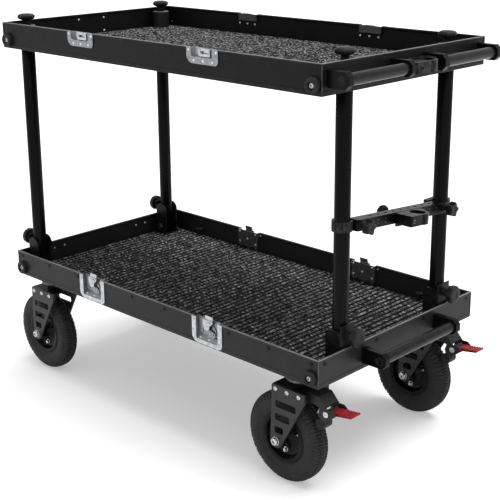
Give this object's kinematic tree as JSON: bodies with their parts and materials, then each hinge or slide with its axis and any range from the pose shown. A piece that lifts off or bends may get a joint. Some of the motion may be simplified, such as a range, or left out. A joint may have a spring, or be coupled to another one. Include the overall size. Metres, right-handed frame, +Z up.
{
  "type": "camera cart",
  "caption": "Two-deck camera cart with carpeted trays, fold-down tube posts, push handles, a clamp crossbar and braked pneumatic swivel casters.",
  "frame": {"origin": "middle of the cart's overall box, on the floor under the wheels", "axes": "+X to the handle end, +Y to the side away from the latches, +Z up"},
  "size_m": [1.1072, 0.543, 0.9038],
  "materials": {
    "tray": "satin black powder coat on sheet",
    "tube": "satin black anodised",
    "steel": "semi-gloss black coating",
    "rim": "semi-gloss black coating",
    "latch": "bright zinc plate",
    "knob": "moulded black, fine grain",
    "pedal": "dark red coating",
    "mat": "grey and black loop carpet",
    "tyre": "matte black rubber"
  },
  "bodies": {
    "base": {"lower_wall_near": "tray", "lower_wall_far": "tray", "lower_wall_left": "tray", "lower_wall_right": "tray", "lower_floor": "tray", "lower_mat": "mat", "lower_handle": "tube", "latch_dish_left": "latch", "latch_dish_right": "latch", "bracket_near_left": "steel", "caster_plate_near_left": "steel", "bracket_far_left": "steel", "caster_plate_far_left": "steel", "bracket_near_right": "steel", "caster_plate_near_right": "steel", "bracket_far_right": "steel", "caster_plate_far_right": "steel"},
    "upper_tray": {"upper_wall_near": "tray", "upper_wall_far": "tray", "upper_wall_left": "tray", "upper_wall_right": "tray", "upper_floor": "tray", "upper_mat": "mat", "upper_handle": "tube", "latch_keeper_left": "latch", "latch_keeper_right": "latch"},
    "left_post_near": {"post_near_left": "tube"},
    "left_post_far": {"post_far_left": "tube"},
    "right_posts": {"post_near_right": "tube", "post_far_right": "tube"},
    "crossbar": {"crossbar": "tube"},
    "accessory_clamp": {"accessory_clamp": "tube"},
    "accessory_knob": {"accessory_knob": "knob"},
    "star_knob_near": {"star_knob_near": "knob"},
    "star_knob_far": {"star_knob_far": "knob"},
    "latch_cam_left": {"latch_cam_left": "latch"},
    "latch_cam_right": {"latch_cam_right": "latch"},
    "top_knob_near_left": {"top_knob_near_left": "knob"},
    "pull_pin_near_left": {"pull_pin_near_left": "knob"},
    "fork_near_left": {"fork_near_left": "steel"},
    "wheel_near_left": {"rim_near_left": "rim", "tyre_near_left": "tyre"},
    "top_knob_far_left": {"top_knob_far_left": "knob"},
    "pull_pin_far_left": {"pull_pin_far_left": "knob"},
    "fork_far_left": {"fork_far_left": "steel"},
    "wheel_far_left": {"rim_far_left": "rim", "tyre_far_left": "tyre"},
    "top_knob_near_right": {"top_knob_near_right": "knob"},
    "pull_pin_near_right": {"pull_pin_near_right": "knob"},
    "fork_near_right": {"fork_near_right": "steel"},
    "wheel_near_right": {"rim_near_right": "rim", "tyre_near_right": "tyre"},
    "brake_lever_near_right": {"brake_lever_near_right": "pedal"},
    "top_knob_far_right": {"top_knob_far_right": "knob"},
    "pull_pin_far_right": {"pull_pin_far_right": "knob"},
    "fork_far_right": {"fork_far_right": "steel"},
    "wheel_far_right": {"rim_far_right": "rim", "tyre_far_right": "tyre"},
    "brake_lever_far_right": {"brake_lever_far_right": "pedal"}
  },
  "joints": [
    {"name": "upper_tray_lift", "type": "slide", "parent": "base", "child": "upper_tray", "axis": [0, 0, 1], "range_m": [0, 0.3]},
    {"name": "left_post_near_fold", "type": "hinge", "parent": "base", "child": "left_post_near", "pos_m": [-0.47887, -0.214, 0.28], "axis": [0, 1, 0], "range_deg": [0, 90]},
    {"name": "left_post_far_fold", "type": "hinge", "parent": "base", "child": "left_post_far", "pos_m": [-0.47887, 0.214, 0.28], "axis": [0, 1, 0], "range_deg": [0, 90]},
    {"name": "right_posts_fold", "type": "hinge", "parent": "base", "child": "right_posts", "pos_m": [0.46513, 0, 0.28], "axis": [0, 1, 0], "range_deg": [-82, 0]},
    {"name": "crossbar_height", "type": "slide", "parent": "right_posts", "child": "crossbar", "axis": [0, 0, 1], "range_m": [-0.08, 0.2]},
    {"name": "accessory_clamp_shift", "type": "slide", "parent": "crossbar", "child": "accessory_clamp", "axis": [0, 0.9964, -0.0848], "range_m": [-0.08, 0.07]},
    {"name": "accessory_knob_turn", "type": "hinge", "parent": "accessory_clamp", "child": "accessory_knob", "pos_m": [0.45513, -0.01694, 0.54844], "axis": [1, 0, 0], "continuous": true},
    {"name": "star_knob_near_turn", "type": "hinge", "parent": "crossbar", "child": "star_knob_near", "pos_m": [0.49713, -0.141, 0.559], "axis": [1, 0, 0], "continuous": true},
    {"name": "star_knob_far_turn", "type": "hinge", "parent": "crossbar", "child": "star_knob_far", "pos_m": [0.49713, 0.141, 0.535], "axis": [1, 0, 0], "continuous": true},
    {"name": "latch_cam_left_turn", "type": "hinge", "parent": "base", "child": "latch_cam_left", "pos_m": [-0.20187, -0.2635, 0.285], "axis": [0, 1, 0], "range_deg": [0, 180]},
    {"name": "latch_cam_right_turn", "type": "hinge", "parent": "base", "child": "latch_cam_right", "pos_m": [0.18813, -0.2635, 0.285], "axis": [0, 1, 0], "range_deg": [0, 180]},
    {"name": "top_knob_near_left_turn", "type": "hinge", "parent": "upper_tray", "child": "top_knob_near_left", "pos_m": [-0.47887, -0.214, 0.885], "axis": [0, 0, 1], "continuous": true},
    {"name": "pull_pin_near_left_pull", "type": "slide", "parent": "base", "child": "pull_pin_near_left", "axis": [-1, 0, 0], "range_m": [0, 0.008], "stiffness_N_per_m": 500},
    {"name": "caster_near_left_swivel", "type": "hinge", "parent": "base", "child": "fork_near_left", "pos_m": [-0.42187, -0.2182, 0.15], "axis": [0, 0, 1], "continuous": true},
    {"name": "wheel_near_left_spin", "type": "hinge", "parent": "fork_near_left", "child": "wheel_near_left", "pos_m": [-0.45487, -0.2182, 0.09877], "axis": [0, 1, 0], "continuous": true},
    {"name": "top_knob_far_left_turn", "type": "hinge", "parent": "upper_tray", "child": "top_knob_far_left", "pos_m": [-0.47887, 0.214, 0.885], "axis": [0, 0, 1], "continuous": true},
    {"name": "pull_pin_far_left_pull", "type": "slide", "parent": "base", "child": "pull_pin_far_left", "axis": [-1, 0, 0], "range_m": [0, 0.008], "stiffness_N_per_m": 500},
    {"name": "caster_far_left_swivel", "type": "hinge", "parent": "base", "child": "fork_far_left", "pos_m": [-0.42187, 0.2182, 0.15], "axis": [0, 0, 1], "continuous": true},
    {"name": "wheel_far_left_spin", "type": "hinge", "parent": "fork_far_left", "child": "wheel_far_left", "pos_m": [-0.45487, 0.2182, 0.09877], "axis": [0, 1, 0], "continuous": true},
    {"name": "top_knob_near_right_turn", "type": "hinge", "parent": "upper_tray", "child": "top_knob_near_right", "pos_m": [0.46513, -0.1655, 0.885], "axis": [0, 0, 1], "continuous": true},
    {"name": "pull_pin_near_right_pull", "type": "slide", "parent": "base", "child": "pull_pin_near_right", "axis": [1, 0, 0], "range_m": [0, 0.008], "stiffness_N_per_m": 500},
    {"name": "caster_near_right_swivel", "type": "hinge", "parent": "base", "child": "fork_near_right", "pos_m": [0.40813, -0.2182, 0.15], "axis": [0, 0, 1], "continuous": true},
    {"name": "wheel_near_right_spin", "type": "hinge", "parent": "fork_near_right", "child": "wheel_near_right", "pos_m": [0.37513, -0.2182, 0.09877], "axis": [0, 1, 0], "continuous": true},
    {"name": "brake_near_right_press", "type": "hinge", "parent": "fork_near_right", "child": "brake_lever_near_right", "pos_m": [0.49313, -0.2182, 0.19237], "axis": [0, 1, 0], "range_deg": [0, 8]},
    {"name": "top_knob_far_right_turn", "type": "hinge", "parent": "upper_tray", "child": "top_knob_far_right", "pos_m": [0.46513, 0.1655, 0.885], "axis": [0, 0, 1], "continuous": true},
    {"name": "pull_pin_far_right_pull", "type": "slide", "parent": "base", "child": "pull_pin_far_right", "axis": [1, 0, 0], "range_m": [0, 0.008], "stiffness_N_per_m": 500},
    {"name": "caster_far_right_swivel", "type": "hinge", "parent": "base", "child": "fork_far_right", "pos_m": [0.40813, 0.2182, 0.15], "axis": [0, 0, 1], "continuous": true},
    {"name": "wheel_far_right_spin", "type": "hinge", "parent": "fork_far_right", "child": "wheel_far_right", "pos_m": [0.37513, 0.2182, 0.09877], "axis": [0, 1, 0], "continuous": true},
    {"name": "brake_far_right_press", "type": "hinge", "parent": "fork_far_right", "child": "brake_lever_far_right", "pos_m": [0.49313, 0.2182, 0.19237], "axis": [0, 1, 0], "range_deg": [0, 8]}
  ]
}
